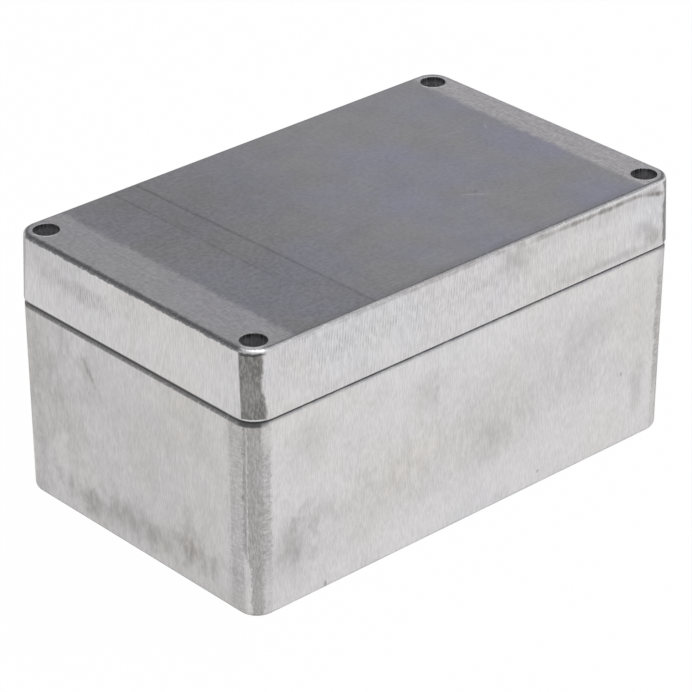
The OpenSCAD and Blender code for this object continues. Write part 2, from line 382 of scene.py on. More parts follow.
class Clouds(EffectGroup):
    """Soft cloudy patches."""

    name = "clouds"
    takes = {"Size": 20.0, "Share": 0.5, "Softness": 0.12, "Shift": 0.0}

    def build(self, graph: Graph, given: dict[str, Signal]) -> dict[str, Signal]:
        """Cut a cloudy noise softly at the share asked for.

        Args:
            graph: The group's tree.
            given: The group's inputs by name.

        Returns:
            What the output is fed.
        """
        spot = {0: graph.place_in_mm(), 1: given["Shift"]}
        moved = graph.out(graph.node("ShaderNodeVectorMath", spot, operation="ADD"))
        cloud = moved.noise(1.0 / given["Size"], detail=4, rough=0.55)
        cut = 1.0 - given["Share"]
        return {"Mask": cloud.fade(cut - given["Softness"], cut + given["Softness"])}


class Scratches(EffectGroup):
    """Thin straight scratches in the box's flat faces.

    Each direction has its turn in degrees, the shift of its noise, and how thin it is.
    """

    name = "scratches"
    takes = {"Rarity": 0.72}
    directions: ClassVar[tuple[Triple, ...]] = ((34, 0, 2.6), (-21, 40, 3.2), (78, 90, 3.0))

    def build(self, graph: Graph, given: dict[str, Signal]) -> dict[str, Signal]:
        """Keep only the peaks of long thin noises.

        Args:
            graph: The group's tree.
            given: The group's inputs by name.

        Returns:
            What the output is fed.
        """
        spot = graph.place_in_mm()
        mask: Value = 0.0
        for turn, shift, thinness in self.directions:
            thin = spot.stretch((0.06, thinness, 0.4), (shift, shift, 0), (0, 0, turn))
            peak = thin.noise(1.0, detail=1)
            mask = peak.fade(given["Rarity"], given["Rarity"] + 0.05).at_least(mask)
        return {"Mask": mask}


class Specks(EffectGroup):
    """Tiny pits or bright grains."""

    name = "specks"
    takes = {"Spacing": 2.0, "Radius": 0.1, "Share": 0.5}

    def build(self, graph: Graph, given: dict[str, Signal]) -> dict[str, Signal]:
        """Draw one dot of uneven size in a share of the cells.

        Args:
            graph: The group's tree.
            given: The group's inputs by name.

        Returns:
            What the output is fed.
        """
        grid = {"Vector": graph.place_in_mm(), "Scale": 1.0 / given["Spacing"]}
        cells = graph.node("ShaderNodeTexVoronoi", grid)
        tint = graph.node("ShaderNodeSeparateColor", {0: graph.out(cells, "Color")})
        size = given["Radius"] / given["Spacing"] * graph.out(tint, 0)
        dot = graph.out(cells, "Distance").fade(size, size * 0.5)
        kept = graph.math("LESS_THAN", graph.out(tint, 1), given["Share"])
        return {"Mask": dot * kept}


@dataclass(frozen=True)
class Effects:
    """The node groups that the finishes share."""

    place: BoxPlace
    grain: GroundGrain
    clouds: Clouds
    scratches: Scratches
    specks: Specks

    @classmethod
    def build(cls) -> "Effects":
        """Make every group once."""
        return cls(BoxPlace(), GroundGrain(), Clouds(), Scratches(), Specks())


# ---- Sizes that the frame gives ----


@dataclass(frozen=True)
class BoxSizes:
    """The box's main sizes in millimetres, from the CAD model."""

    half_length: float
    half_width: float
    seam: float
    top: float
    corner_radius: float = 7.0
    lean: float = 0.7
    overhang: float = 0.15
    edge_radius: float = 1.2
    rim_bevel: float = 1.6
    hole_inset: float = 7.0
    hole_radius: float = 3.75

    @classmethod
    def from_frame(cls) -> "BoxSizes":
        """Read the sizes off the lid's box."""
        low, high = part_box("lid")
        return cls(high.x / MM, high.y / MM, low.z / MM, high.z / MM)


# ---- Finishes ----


@dataclass(frozen=True)
class Mark:
    """A soft smudge at a chosen place on a casting, in millimetres.

    On a side, the place is (distance to the right of its middle, height), seen from outside.
    On the top it is (x, y).
    """

    place: tuple[float, float]
    reach: tuple[float, float]
    depth: float
    tilt: float = 0.0
    stain: Stain = Stain.DARK
    through_side: ClassVar[float] = 6.0
    through_top: ClassVar[float] = 0.5
    fades_at: ClassVar[float] = 1.35

    def mask(self, sizes: BoxSizes, face: Face, spot: Signal, ragged: Signal) -> Signal:
        """Mask the smudge.

        Args:
            sizes: The box's sizes.
            face: The face that it is on.
            spot: The place in millimetres.
            ragged: A noise of about 0 on average that frays the edge.

        Returns:
            How much of the smudge shows.
        """
        if face is Face.TOP:
            middle = (*self.place, sizes.top)
            reach = (*self.reach, self.through_top)
            turn = (0.0, 0.0, self.tilt)
        else:
            sideways = face in (Face.LEFT, Face.RIGHT)
            away = sizes.half_length if sideways else sizes.half_width
            spun = Vector((self.place[0], -away, self.place[1]))
            spun.rotate(Euler((0.0, 0.0, -math.radians(face.value))))
            middle = tuple(spun)
            reach = (self.reach[0], self.through_side, self.reach[1])
            turn = (0.0, self.tilt, -face.value)
        out = spot.within(middle, reach, turn) + ragged
        return out.fade(self.fades_at, 0.0) * self.depth


MarksByFace = dict[Face, tuple[Mark, ...]]


@dataclass(frozen=True)
class Surface:
    """What the layers of a casting's finish have in common while its material is built."""

    graph: Graph
    at: dict[str, Signal]
    grain: dict[str, Signal]
    spot: Signal


@dataclass(frozen=True)
class CastAluminium:
    """Bare casting: grey cast skin, and sides ground bright with a short upright grain."""

    name: str
    sizes: BoxSizes
    effects: Effects
    is_lid: bool
    marks: MarksByFace
    ground: Triple = (0.82, 0.805, 0.805)
    ground_cool: Triple = (0.80, 0.79, 0.815)
    ground_warm: Triple = (0.81, 0.785, 0.755)
    skin: Triple = (0.475, 0.472, 0.485)
    skin_cool: Triple = (0.465, 0.46, 0.555)
    rubbed: Triple = (0.78, 0.755, 0.775)
    # Painted shade on the rounded top edge of the lid and the bevelled rim of the base.
    edge_shade: Triple = (0.24, 0.24, 0.245)
    # Painted reflection down the upright corners: dark, with lighter streaks.
    strip: Triple = (0.20, 0.195, 0.185)
    strip_light: Triple = (0.40, 0.40, 0.385)
    # Grime, and also painted shade in the seam, the screw holes and under the lid's overhang.
    grime_and_shade: Triple = (0.06, 0.06, 0.06)
    soot: Triple = (0.165, 0.145, 0.13)
    # Polish, and also painted highlights on the screw holes' lips, the front left corner and the lid's edge
    # by the seam.
    polish_and_highlight: Triple = (0.88, 0.88, 0.89)
    inside: Triple = (0.50, 0.50, 0.49)
    inside_dark: Triple = (0.40, 0.40, 0.40)
    ground_roughness: float = 0.42
    skin_roughness: float = 0.36
    inside_rougher: float = 0.08
    roughness_sway: float = 0.04
    relief_depth: float = 0.05
    line_relief: float = 0.35
    grit_relief: float = 0.25
    wave_relief: float = 1.5
    left_band: float = 16.5
    right_band: float = 11.6
    pin_place: tuple[float, float] = (40.0, 20.0)
    pin_radius: float = 4.0

    def build(self) -> bpy.types.Material:
        """Make the material.

        Returns:
            The material, ready for the casting's mesh.
        """
        made = NodeMaterial(self.name)
        graph = made.graph
        part_height = self.sizes.top - self.sizes.seam if self.is_lid else self.sizes.seam
        at = self.effects.place.place(
            graph,
            Half_Length=self.sizes.half_length,
            Half_Width=self.sizes.half_width,
            Corner_Radius=self.sizes.corner_radius,
            Seam=self.sizes.seam,
            Lean=self.sizes.lean / part_height,
            Inset=0.0 if self.is_lid else self.sizes.overhang,
        )
        grain = self.effects.grain.place(graph, Fineness=1.0 if self.is_lid else 1.25)
        face = Surface(graph, at, grain, graph.place_in_mm())
        ground, hidden = self.ground_mask(face), self.inside_mask(face)

        coat = Coat(graph, self.skin_colour(face))
        coat.lay(self.ground_colour(face), ground)
        self.corner_strip(face, coat)
        if self.is_lid:
            self.lid_edges(face, coat)
        else:
            self.base_edges(face, coat)
        self.smudges(face, coat)
        coat.lay(self.inside_colour(face), hidden)
        if self.is_lid:
            self.holes(face, coat)
        made.feed("Base Color", coat.colour)

        smooth = ground * (self.ground_roughness - self.skin_roughness)
        uneven = grain["Streak"].fade(0.3, 0.7, -self.roughness_sway, self.roughness_sway)
        made.feed("Roughness", self.skin_roughness + smooth + hidden * self.inside_rougher + uneven)
        made.feed("Metallic", 1.0)
        lines = grain["Line"] * ground * self.line_relief
        grit = face.spot.noise(1.3, detail=4, rough=0.6) * self.grit_relief
        wave = face.spot.noise(0.07, detail=2) * self.wave_relief
        made.raise_by(lines + grit + wave, self.relief_depth)
        return made.material

    def ground_mask(self, face: Surface) -> Signal:
        """Mask the sides that the belt has ground.

        Args:
            face: The surface.

        Returns:
            1 where the metal is ground, 0 where it has its cast skin.
        """
        at = face.at
        wavy = face.spot.noise(0.16, detail=5, rough=0.65)
        frayed = face.spot.sway(1.4, 0.12, detail=2, rough=0.6)
        reach = wavy.fade(0.4, 0.68, -0.1, 0.35) + frayed
        past_reach = at["Depth"] - reach.at_least(0.0)
        past_long = past_reach.fade(0.4, 0.02)
        past_end = at["Depth"].fade(0.22, 0.06)
        share = at["Turn"].fade(0.7, 0.95)
        above_foot = at["Height"].fade(0.15, 1.2)
        return (past_end * (1.0 - share) + past_long * share) * above_foot

    def inside_mask(self, face: Surface) -> Signal:
        """Mask the inside, the rims and the holes, away from the outer faces.

        Args:
            face: The surface.

        Returns:
            1 on the hidden faces.
        """
        height = face.at["Height"]
        deep = face.at["Depth"].fade(1.4, 1.6)
        off_top = height.fade(self.sizes.top - 0.02, self.sizes.top - 0.06)
        return deep * off_top * height.fade(0.02, 0.06)

    def holes(self, face: Surface, coat: Coat) -> None:
        """Paint shade on the walls of the lid screws' holes, and a painted highlight on each hole's lip in
        places.

        Args:
            face: The surface.
            coat: Its colour so far.
        """
        graph, at = face.graph, face.at
        radius, inset, top = self.sizes.hole_radius, self.sizes.hole_inset, self.sizes.top
        from_x = abs(at["Along"]) - (self.sizes.half_length - inset)
        from_y = abs(at["Across"]) - (self.sizes.half_width - inset)
        off = graph.hypot(from_x, from_y)
        signed = from_x * graph.math("SIGN", at["Along"]) + from_y * graph.math("SIGN", at["Across"])
        lit_side = signed.fade(-0.9 * radius, -1.35 * radius)
        patchy = face.spot.noise(0.9, detail=3).fade(0.35, 0.55)
        on_top = at["Height"].fade(top - 0.4, top - 0.2)
        # Painted highlight: a bright stripe round the lip, on the side toward the box's middle.
        lip = off.stripe(radius + 0.35, 0.45, 0.3)
        coat.lay(self.polish_and_highlight, lip * lit_side * patchy * on_top * 0.9)
        wall = off.fade(radius + 0.15, radius + 0.05)
        coat.lay(self.ground_cool, wall)
        lines = face.grain["Line"].fade(0.6, 0.4, 0.0, 0.3)
        # Painted shade on the hole walls, darkest just under the lip, over dark lines.
        under_lip = at["Height"].fade(top - 2.2, top - 0.5, 0.0, 0.6)
        coat.lay(self.grime_and_shade, wall * (lines + under_lip))

    def skin_colour(self, face: Surface) -> Signal:
        """Colour the cast skin: cloudy, cooler in patches, and rubbed lighter near the ends.

        Args:
            face: The surface.

        Returns:
            The colour.
        """
        graph, at = face.graph, face.at
        clouds = self.effects.clouds
        coat = Coat(graph, self.skin)
        cool = clouds.mask(graph, Size=30.0, Share=0.5, Softness=0.13, Shift=4.0)
        rightward = at["Along"].fade(-40.0, 0.0, 0.65, 1.0)
        off_back = at["Across"].fade(48.0, 25.0, 0.35, 1.0)
        coat.lay(self.skin_cool, cool * rightward * off_back)
        coat.lay(self.grime_and_shade, clouds.mask(graph, Size=11.0, Share=0.45, Softness=0.2, Shift=31.0) * 0.08)
        fine = face.spot.noise(0.8, detail=4, rough=0.75)
        strength = at["Along"].fade(0.0, -50.0, 0.17, 0.3)
        coat.lay(self.grime_and_shade, fine.fade(0.35, 0.7, 0.0, strength))
        if self.is_lid:
            self.top_lines(face, coat)
            self.top_bands(face, coat)
        scratch = self.effects.scratches.mask(graph, Rarity=0.73)
        speck = self.effects.specks.mask(graph, Spacing=2.6, Radius=0.3, Share=0.4)
        coat.lay(self.ground, (scratch * 0.3).at_least(speck * 0.5))
        return coat.colour

    def top_lines(self, face: Surface, coat: Coat) -> None:
        """Darken the top toward its left, and draw faint lines across it.

        Args:
            face: The surface.
            coat: Its colour so far.
        """
        along, across = face.at["Along"], face.at["Across"]
        slant = across * 0.02
        swayed = along + face.spot.sway(0.5, 0.7, detail=4, rough=0.7) + slant
        toward_left = (along - across * 0.35).fade(20.0, -42.0)
        toward_back = across.fade(-30.0, -14.0)
        uneven = face.spot.stretch((3, 0.12, 1)).noise(0.5).fade(0.3, 0.7, 0.45, 1.0)
        strong_line = (along + slant).stripe(-36.3, 0.5, 1.1)
        weak_lines = (
            along.stripe(-45.6, 0.4, 1.0)
            + along.stripe(-43.9, 0.25, 0.8) * 0.5
            + along.stripe(-39.7, 0.25, 0.8) * 0.4
        )
        dark = (
            toward_left * 0.12
            + across.fade(-44.5, -48.5) * 0.14
            + swayed.fade(-34.0, -37.5) * 0.02
            + swayed.stripe(-40.8, 4.6, 0.8) * 0.02
            + strong_line * uneven * 0.32
            + weak_lines * uneven * toward_back * 0.22
        )
        coat.lay(self.grime_and_shade, dark)

    def top_bands(self, face: Surface, coat: Coat) -> None:
        """Rub the top lighter in a band near each end.

        Args:
            face: The surface.
            coat: Its colour so far.
        """
        graph, spot = face.graph, face.spot
        along = face.at["Along"] + spot.sway(0.5, 0.7, detail=4, rough=0.7)
        left_edge = self.left_band - self.sizes.half_length
        right_edge = self.sizes.half_length - self.right_band
        left = along.fade(left_edge + 1.2, left_edge - 1.2)
        right = (along - face.at["Across"] * 0.02).fade(right_edge - 1.5, right_edge + 1.5)
        criss = spot.stretch((0.5, 2.2, 1), turn=(0, 0, 28)).noise(1.0, detail=2)
        cross = spot.stretch((2.2, 0.5, 1), turn=(0, 0, 14)).noise(1.0, detail=2)
        drawn = spot.stretch((0.9, 0.09, 1)).noise(1.0, detail=4, rough=0.6)
        band = Coat(graph, self.rubbed)
        band.lay(self.skin, (criss - cross).fade(-0.16, 0.16, 0.0, 0.6))
        band.lay(self.grime_and_shade, drawn.fade(0.35, 0.65, 0.0, 0.16))
        coat.lay(band.colour, right.at_least(left * 0.6))

    def ground_colour(self, face: Surface) -> Signal:
        """Colour the ground metal: short upright lines, chatter, soft blotches and a few pits.

        Args:
            face: The surface.

        Returns:
            The colour.
        """
        graph, clouds = face.graph, self.effects.clouds
        coat = Coat(graph, self.ground)
        warmth, coolness = (0.8, 0.8) if self.is_lid else (0.9, 0.35)
        warm = clouds.mask(graph, Size=34.0, Share=0.42, Softness=0.14, Shift=60.0)
        coat.lay(self.ground_warm, warm * warmth)
        cool = clouds.mask(graph, Size=28.0, Share=0.42, Softness=0.14, Shift=95.0)
        coat.lay(self.ground_cool, cool * coolness)

        line = face.grain["Line"].fade(0.62, 0.38, 0.0, 0.13 if self.is_lid else 0.12)
        streak = face.grain["Streak"].fade(0.6, 0.4, 0.0, 0.025)
        where = clouds.mask(graph, Size=18.0, Share=0.55, Softness=0.12, Shift=12.0)
        rows = face.grain["Chatter"] * where * (0.08 if self.is_lid else 0.03)
        mottle = face.spot.noise(0.35, detail=5, rough=0.7).fade(0.6, 0.4, 0.0, 0.025)
        blotch = clouds.mask(graph, Size=14.0, Share=0.4, Softness=0.18, Shift=7.0)
        coat.lay(self.grime_and_shade, line + streak + rows + mottle + blotch * 0.06)
        coat.lay(self.grime_and_shade, self.effects.specks.mask(graph, Spacing=9.0, Radius=0.35, Share=0.25) * 0.5)
        return coat.colour

    def corner_strip(self, face: Surface, coat: Coat) -> None:
        """Paint a strip down each upright corner, on the rounding that the belt has missed: a painted
        reflection of dark surroundings.

        Args:
            face: The surface.
            coat: Its colour so far.
        """
        at = face.at
        outer = at["Depth"].fade(1.0, 0.3) * at["Across"].fade(20.0, -20.0, 0.45, 1.0)
        fray = face.spot.sway(1.1, 0.45, detail=3, rough=0.65)
        streak = face.spot.stretch((2.2, 2.2, 0.6)).noise(1.0, detail=3, rough=0.65)
        if self.is_lid:
            self.lid_strip(face, coat, outer, fray, streak)
        else:
            self.base_strip(face, coat, outer, at["Arc"] + fray, streak)

    def lid_strip(self, face: Surface, coat: Coat, outer: Signal, fray: Signal, streak: Signal) -> None:
        """Draw the lid's corner strip, a painted reflection that is dark with light streaks.

        Args:
            face: The surface.
            coat: Its colour so far.
            outer: 1 on the outer faces.
            fray: How far the edges stray.
            streak: Fine upright streaks.
        """
        arc, height = face.at["Arc"], face.at["Height"]
        drift = face.spot.stretch((0.3, 0.3, 1)).sway(0.12, 0.8, detail=2)
        starts = (arc + (height - self.sizes.seam) * 0.03).fade(2.2, 2.55)
        stops = (arc - (drift + fray * 0.4)).fade(9.2, 8.1)
        below_edge = height.fade(self.sizes.top - 0.7, self.sizes.top - 1.0)
        light = streak.fade(0.42, 0.66, 0.0, 0.75)
        strip_colour = face.graph.colour(light, self.strip, self.strip_light)
        # Painted reflection down the lid's corners.
        coat.lay(strip_colour, starts * stops * below_edge * outer)

    def base_strip(self, face: Surface, coat: Coat, outer: Signal, frayed: Signal, streak: Signal) -> None:
        """Draw the base's corner strip, a painted reflection: a grey zone, a darker band with a light line,
        and rungs.

        Args:
            face: The surface.
            coat: Its colour so far.
            outer: 1 on the outer faces.
            frayed: The way round the corner, with a frayed edge.
            streak: Fine upright streaks.
        """
        height = face.at["Height"]
        ripple = face.spot.stretch((0.5, 0.5, 1.5)).noise(1.0, detail=3, rough=0.7)
        mid_height = height.fade(12.0, 22.0) * height.fade(55.0, 48.0)
        grey = frayed.fade(-4.0, -1.4) * frayed.fade(3.4, 2.2)
        from_edge = frayed - height.fade(14.0, 22.0, 4.6, 2.6)
        band = from_edge.fade(-0.35, 0.35) * frayed.fade(8.3, 7.2)
        rungs = frayed.stripe(9.0, 1.3, 0.9)
        light_line = face.at["Arc"].stripe(streak.fade(0.3, 0.7, 3.5, 3.9), 0.14, 0.25)
        mottled = streak.fade(0.3, 0.7, 1.3, 0.7)
        rippled = ripple.fade(0.35, 0.65, 1.45, 0.55)
        # How dark the painted reflection is: grey zone, band and rungs.
        dark = (
            grey * rippled * 0.27
            + band * mottled * 0.52
            + rungs * rippled * mid_height.fade(0.0, 1.0, 0.14, 0.36)
        )
        coat.lay(self.strip, dark * (1.0 - light_line * 0.7) * outer)

    def lid_edges(self, face: Surface, coat: Coat) -> None:
        """Paint shade on the lid's round top edge, a painted highlight on its front left corner, and a
        painted highlight and painted shade at its edge by the seam.

        Args:
            face: The surface.
            coat: Its colour so far.
        """
        at, depth = face.at, face.at["Depth"]
        radius = self.sizes.edge_radius
        height = at["Height"] - (self.sizes.top - radius)
        wander = face.spot.sway(0.6, 0.25, detail=5, rough=0.75)
        sparkle = face.spot.noise(1.3, detail=3, rough=0.6)
        on_end = at["Turn"].fade(0.35, 0.1)
        on_corner = at["Turn"].stripe(0.5, 0.3, 0.2)
        lit_corner = on_corner * (at["Along"] + at["Across"]).fade(-70.0, -95.0)

        near = (depth + wander).fade(radius + 0.6, radius - 0.3)
        end_edge = near * on_end * at["Along"].fade(40.0, -40.0, 0.25, 1.0)
        off_flat = depth.fade(radius + 0.3, radius - 0.3)
        long_edge = depth.fade(0.02, 0.5) * off_flat * (1.0 - on_end)
        rounded = (height + wander).fade(0.0, 0.3)
        broken = sparkle.fade(0.7, 0.5, 0.5, 1.0)
        # Painted shade on the rounded top edge, away from the front left corner.
        coat.lay(self.edge_shade, rounded * (end_edge + long_edge) * (1.0 - lit_corner) * broken)

        # Painted highlight on the front left corner, with a painted dark line where the rounding starts.
        by_corner = depth.fade(radius + 1.0, radius + 0.2)
        bright = height.fade(0.3, 0.6) * by_corner * sparkle.fade(0.4, 0.56, 0.15, 1.0)
        coat.lay(self.polish_and_highlight, lit_corner * bright)
        coat.lay(self.grime_and_shade, (height + wander).stripe(0.05, 0.35, 0.3) * lit_corner * 0.75)

        # Painted highlight along the lid's lower edge at the corners, and painted shade in the seam on the
        # ends.
        above_seam = at["Height"] - self.sizes.seam
        coat.lay(self.polish_and_highlight, above_seam.stripe(0.55, 0.2, 0.15) * on_corner * 0.8)
        coat.lay(self.grime_and_shade, above_seam.fade(0.75, 0.3, 0.0, 0.85) * on_end)

    def base_edges(self, face: Surface, coat: Coat) -> None:
        """Paint shade on the base's bevelled rim, a painted shadow of the lid's overhang at the corners, and
        painted shade just under the seam.

        Args:
            face: The surface.
            coat: Its colour so far.
        """
        turn, bevel = face.at["Turn"], self.sizes.rim_bevel
        under = self.sizes.seam - face.at["Height"]
        band = under.fade(bevel + 0.4, bevel - 0.2)
        broken = face.spot.noise(1.6, detail=2, rough=0.6).fade(0.66, 0.5, 0.45, 0.95)
        # Painted shade on the rim's bevel at the ends and corners, darker at the corners as a painted shadow
        # of the lid's overhang.
        coat.lay(self.edge_shade, band * turn.fade(0.97, 0.6) * broken)
        coat.lay(self.grime_and_shade, band * turn.stripe(0.42, 0.28, 0.08) * 0.6)
        # Painted shade just under the seam and the lid's overhang.
        shade = under.fade(1.7, 0.5, 0.0, 0.4)
        coat.lay(self.grime_and_shade, shade + under.fade(0.8, 0.35, 0.0, 0.6))

    def smudges(self, face: Surface, coat: Coat) -> None:
        """Lay the chosen smudges over the colour.

        Args:
            face: The surface.
            coat: Its colour so far.
        """
        ragged = face.spot.stretch((1, 1, 0.7)).sway(0.22, 0.32, detail=4, rough=0.6)
        striped = face.grain["Streak"].fade(0.62, 0.38, 0.85, 1.15)
        shown: dict[Stain, Value] = dict.fromkeys(Stain, 0.0)
        for side, marks in self.marks.items():
            for mark in marks:
                shown[mark.stain] += mark.mask(self.sizes, side, face.spot, ragged)
        coat.lay(self.soot, shown[Stain.DARK] * striped)
        coat.lay(self.polish_and_highlight, shown[Stain.LIGHT])
        coat.lay(self.grime_and_shade, shown[Stain.CHATTER] * face.grain["Chatter"])

    def inside_colour(self, face: Surface) -> Signal:
        """Colour the inside: as cast, with flow clouds and the rings of the ejector pins.

        Args:
            face: The surface.

        Returns:
            The colour.
        """
        graph, at = face.graph, face.at
        coat = Coat(graph, self.inside)
        cloud = self.effects.clouds.mask(graph, Size=16.0, Share=0.5, Softness=0.2, Shift=50.0)
        coat.lay(self.inside_dark, cloud)
        grain = face.spot.noise(1.8, detail=3, rough=0.7)
        coat.lay(self.grime_and_shade, grain.fade(0.4, 0.7, 0.0, 0.12))
        pin_x, pin_y = self.pin_place
        off = graph.hypot(abs(at["Along"]) - pin_x, abs(at["Across"]) - pin_y)
        coat.lay(self.grime_and_shade, off.stripe(self.pin_radius, 0.12, 0.2) * 0.5)
        coat.lay(self.rubbed, off.fade(self.pin_radius, self.pin_radius - 0.1) * 0.2)
        return coat.colour


@dataclass(frozen=True)
class Thread:
    """A helical groove round four upright screws that stand in the corners of a rectangle."""

    half_span_x: float
    half_span_y: float
    low: float
    high: float
    pitch: float = 0.7
    depth: float = 0.15
    run_out: float = 0.3

    @classmethod
    def from_frame(cls, front_left_screw: str, length: float) -> "Thread":
        """Place the thread on screws that the frame has.

        Args:
            front_left_screw: The node of the screw at the front left.
            length: How far the thread reaches from the screw's tip, in millimetres.

        Returns:
            The thread.
        """
        low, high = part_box(front_left_screw)
        spans = (-(low.x + high.x) / 2 / MM, -(low.y + high.y) / 2 / MM)
        return cls(*spans, low.z / MM + cls.run_out, low.z / MM + length)

    def mask(self, graph: Graph) -> Signal:
        """Mask the groove.

        Args:
            graph: The material's tree.

        Returns:
            1 at the groove's bottom, 0 on its crests and off the thread.
        """
        x, y, z = graph.place_in_mm().split()
        from_x = x - graph.math("SIGN", x) * self.half_span_x
        from_y = y - graph.math("SIGN", y) * self.half_span_y
        turn = graph.math("ARCTAN2", from_y, from_x) / (2 * math.pi)
        wave = graph.math("PINGPONG", z / self.pitch - turn, 0.5)
        past_low = z.fade(self.low, self.low + self.run_out)
        return wave * 2.0 * past_low * z.fade(self.high, self.high - self.run_out)


@dataclass(frozen=True)
class PlainFinish:
    """A simple finish with fine mottling: turned steel, plating, nylon or rubber."""

    name: str
    colour: Triple
    shade: Triple
    roughness: float
    metallic: float
    thread: Thread | None = None
    groove_shade: Triple = (0.06, 0.06, 0.06)
    mottle_scale: float = 3.0
    unevenness: float = 0.06
    relief_depth: float = 0.01

    def build(self) -> bpy.types.Material:
        """Make the material.

        Returns:
            The material.
        """
        made = NodeMaterial(self.name)
        graph = made.graph
        mottle = graph.place_in_mm().noise(self.mottle_scale, detail=3, rough=0.6)
        coat = Coat(graph, self.colour)
        coat.lay(self.shade, mottle.fade(0.35, 0.65))
        height = mottle
        if self.thread is not None:
            groove = self.thread.mask(graph)
            coat.lay(self.groove_shade, groove * 0.8)
            height = mottle - groove * (self.thread.depth / self.relief_depth)
        smoothest, roughest = self.roughness - self.unevenness, self.roughness + self.unevenness
        made.feed("Base Color", coat.colour)
        made.feed("Roughness", mottle.fade(0.3, 0.7, smoothest, roughest))
        made.feed("Metallic", self.metallic)
        made.raise_by(height, self.relief_depth)
        return made.material


def dress(node: str, material: bpy.types.Material) -> None:
    """Give a CAD node its material.

    Args:
        node: The node's name.
        material: The material.
    """
    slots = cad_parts[node].data.materials
    slots.clear()
    slots.append(material)


# ---- Sub-assemblies ----


@dataclass
class Castings:
    """The base and the lid."""

    sizes: BoxSizes
    effects: Effects
    base_marks: ClassVar[MarksByFace] = {
        Face.FRONT: (
            Mark((-65.5, 19.5), (8, 12), 0.24),
            Mark((-66, 18), (3, 9), 0.12),
            Mark((-57, 25), (9, 5), 0.14),
            Mark((-60, 49), (9, 6), 0.11),
            Mark((-18, 46), (7, 8), 0.12),
            Mark((-13.6, 47), (1, 10), 0.10),
            Mark((8, 22.5), (8, 6), 0.19),
            Mark((67, 18), (3.5, 9), 0.22),
            Mark((16, 32), (62, 17), 0.10, tilt=-12),
            Mark((46, 43), (16, 8), 0.09, tilt=-20),
            Mark((-34, 22), (26, 14), 0.05),
            Mark((74, 30), (1.6, 40), 0.10),
            Mark((12, 3), (4, 2.5), 0.14),
            Mark((-54, 1.8), (0.5, 1.5), 0.60),
            Mark((27, 5), (0.7, 0.8), 0.50),
            Mark((60, 24), (0.6, 0.9), 0.40),
            Mark((0, 5), (95, 8), 0.14, stain=Stain.LIGHT),
            Mark((0, 56), (85, 4), 0.18, stain=Stain.LIGHT),
        ),
        Face.LEFT: (
            Mark((0, 9), (36, 5.5), 0.28, tilt=-2.5),
            Mark((-23, 8), (8, 4.5), 0.18),
            Mark((25, 10.5), (8, 5), 0.14),
            Mark((23, 18), (3.5, 8), 0.12),
            Mark((-17.5, 48.5), (0.9, 8.5), 0.22, tilt=-37),
            Mark((-20.5, 51.5), (3, 4.5), 0.16),
            Mark((-8, 42), (70, 40), 0.14),
            Mark((-38, 44), (20, 34), 0.16),
            Mark((40, 30), (0.5, 34), 0.25, stain=Stain.LIGHT),
        ),
        Face.BACK: (
            Mark((30, 26), (12, 9), 0.16),
            Mark((-44, 12), (16, 5), 0.18),
            Mark((-6, 48), (6, 7), 0.10),
        ),
        Face.RIGHT: (
            Mark((-8, 10), (26, 6), 0.18),
            Mark((20, 40), (5, 9), 0.10),
        ),
    }
    lid_marks: ClassVar[MarksByFace] = {
        Face.FRONT: (
            Mark((15.5, 75.5), (7, 6), 0.26),
            Mark((67, 68), (4.5, 3.5), 0.34),
            Mark((48, 79.2), (28, 0.9), 0.62),
            Mark((70, 77.9), (8, 0.9), 0.66, tilt=12),
            Mark((46, 77.5), (30, 3), 0.10),
            Mark((-16, 80.2), (48, 0.8), 0.40),
            Mark((70, 65), (6, 2), 0.25),
            Mark((54, 62.8), (26, 1.8), 0.24),
            Mark((35, 66), (12, 3), 0.10),
            Mark((-50, 73.5), (24, 6.5), 0.20, stain=Stain.CHATTER),
            Mark((-10, 73.5), (30, 6), 0.17, stain=Stain.CHATTER),
            Mark((-36, 71), (28, 11), 0.16, stain=Stain.LIGHT),
            Mark((52, 71), (22, 5), 0.12, stain=Stain.LIGHT),
            Mark((-50, 63), (10, 1.5), 0.08, tilt=-8),
        ),
        Face.LEFT: (
            Mark((-21, 72.5), (15, 3.2), 0.26, stain=Stain.CHATTER),
            Mark((-22, 72.5), (13, 2.6), 0.12),
            Mark((-34, 75), (22, 7), 0.12),
            Mark((30, 68), (24, 10), 0.14, stain=Stain.LIGHT),
        ),
        Face.BACK: (
            Mark((20, 74), (14, 3), 0.12),
            Mark((-50, 67), (6, 4), 0.14),
        ),
        Face.RIGHT: (
            Mark((10, 72), (16, 3), 0.12),
        ),
        Face.TOP: (
            Mark((-34, 27), (36, 22), 0.10),
            Mark((29, -20.5), (5.5, 0.25), 0.5, tilt=-40, stain=Stain.LIGHT),
            Mark((30, -19), (1.2, 0.5), 0.4, tilt=30),
            Mark((62.5, 10), (1.2, 0.2), 0.6, tilt=60, stain=Stain.LIGHT),
        ),
    }

    def dress(self) -> list[str]:
        """Give both castings their finish.

        Returns:
            The dressed nodes.
        """
        for node, marks in (("base", self.base_marks), ("lid", self.lid_marks)):
            finish = CastAluminium(f"{node}_aluminium", self.sizes, self.effects, node == "lid", marks)
            dress(node, finish.build())
        return ["base", "lid"]


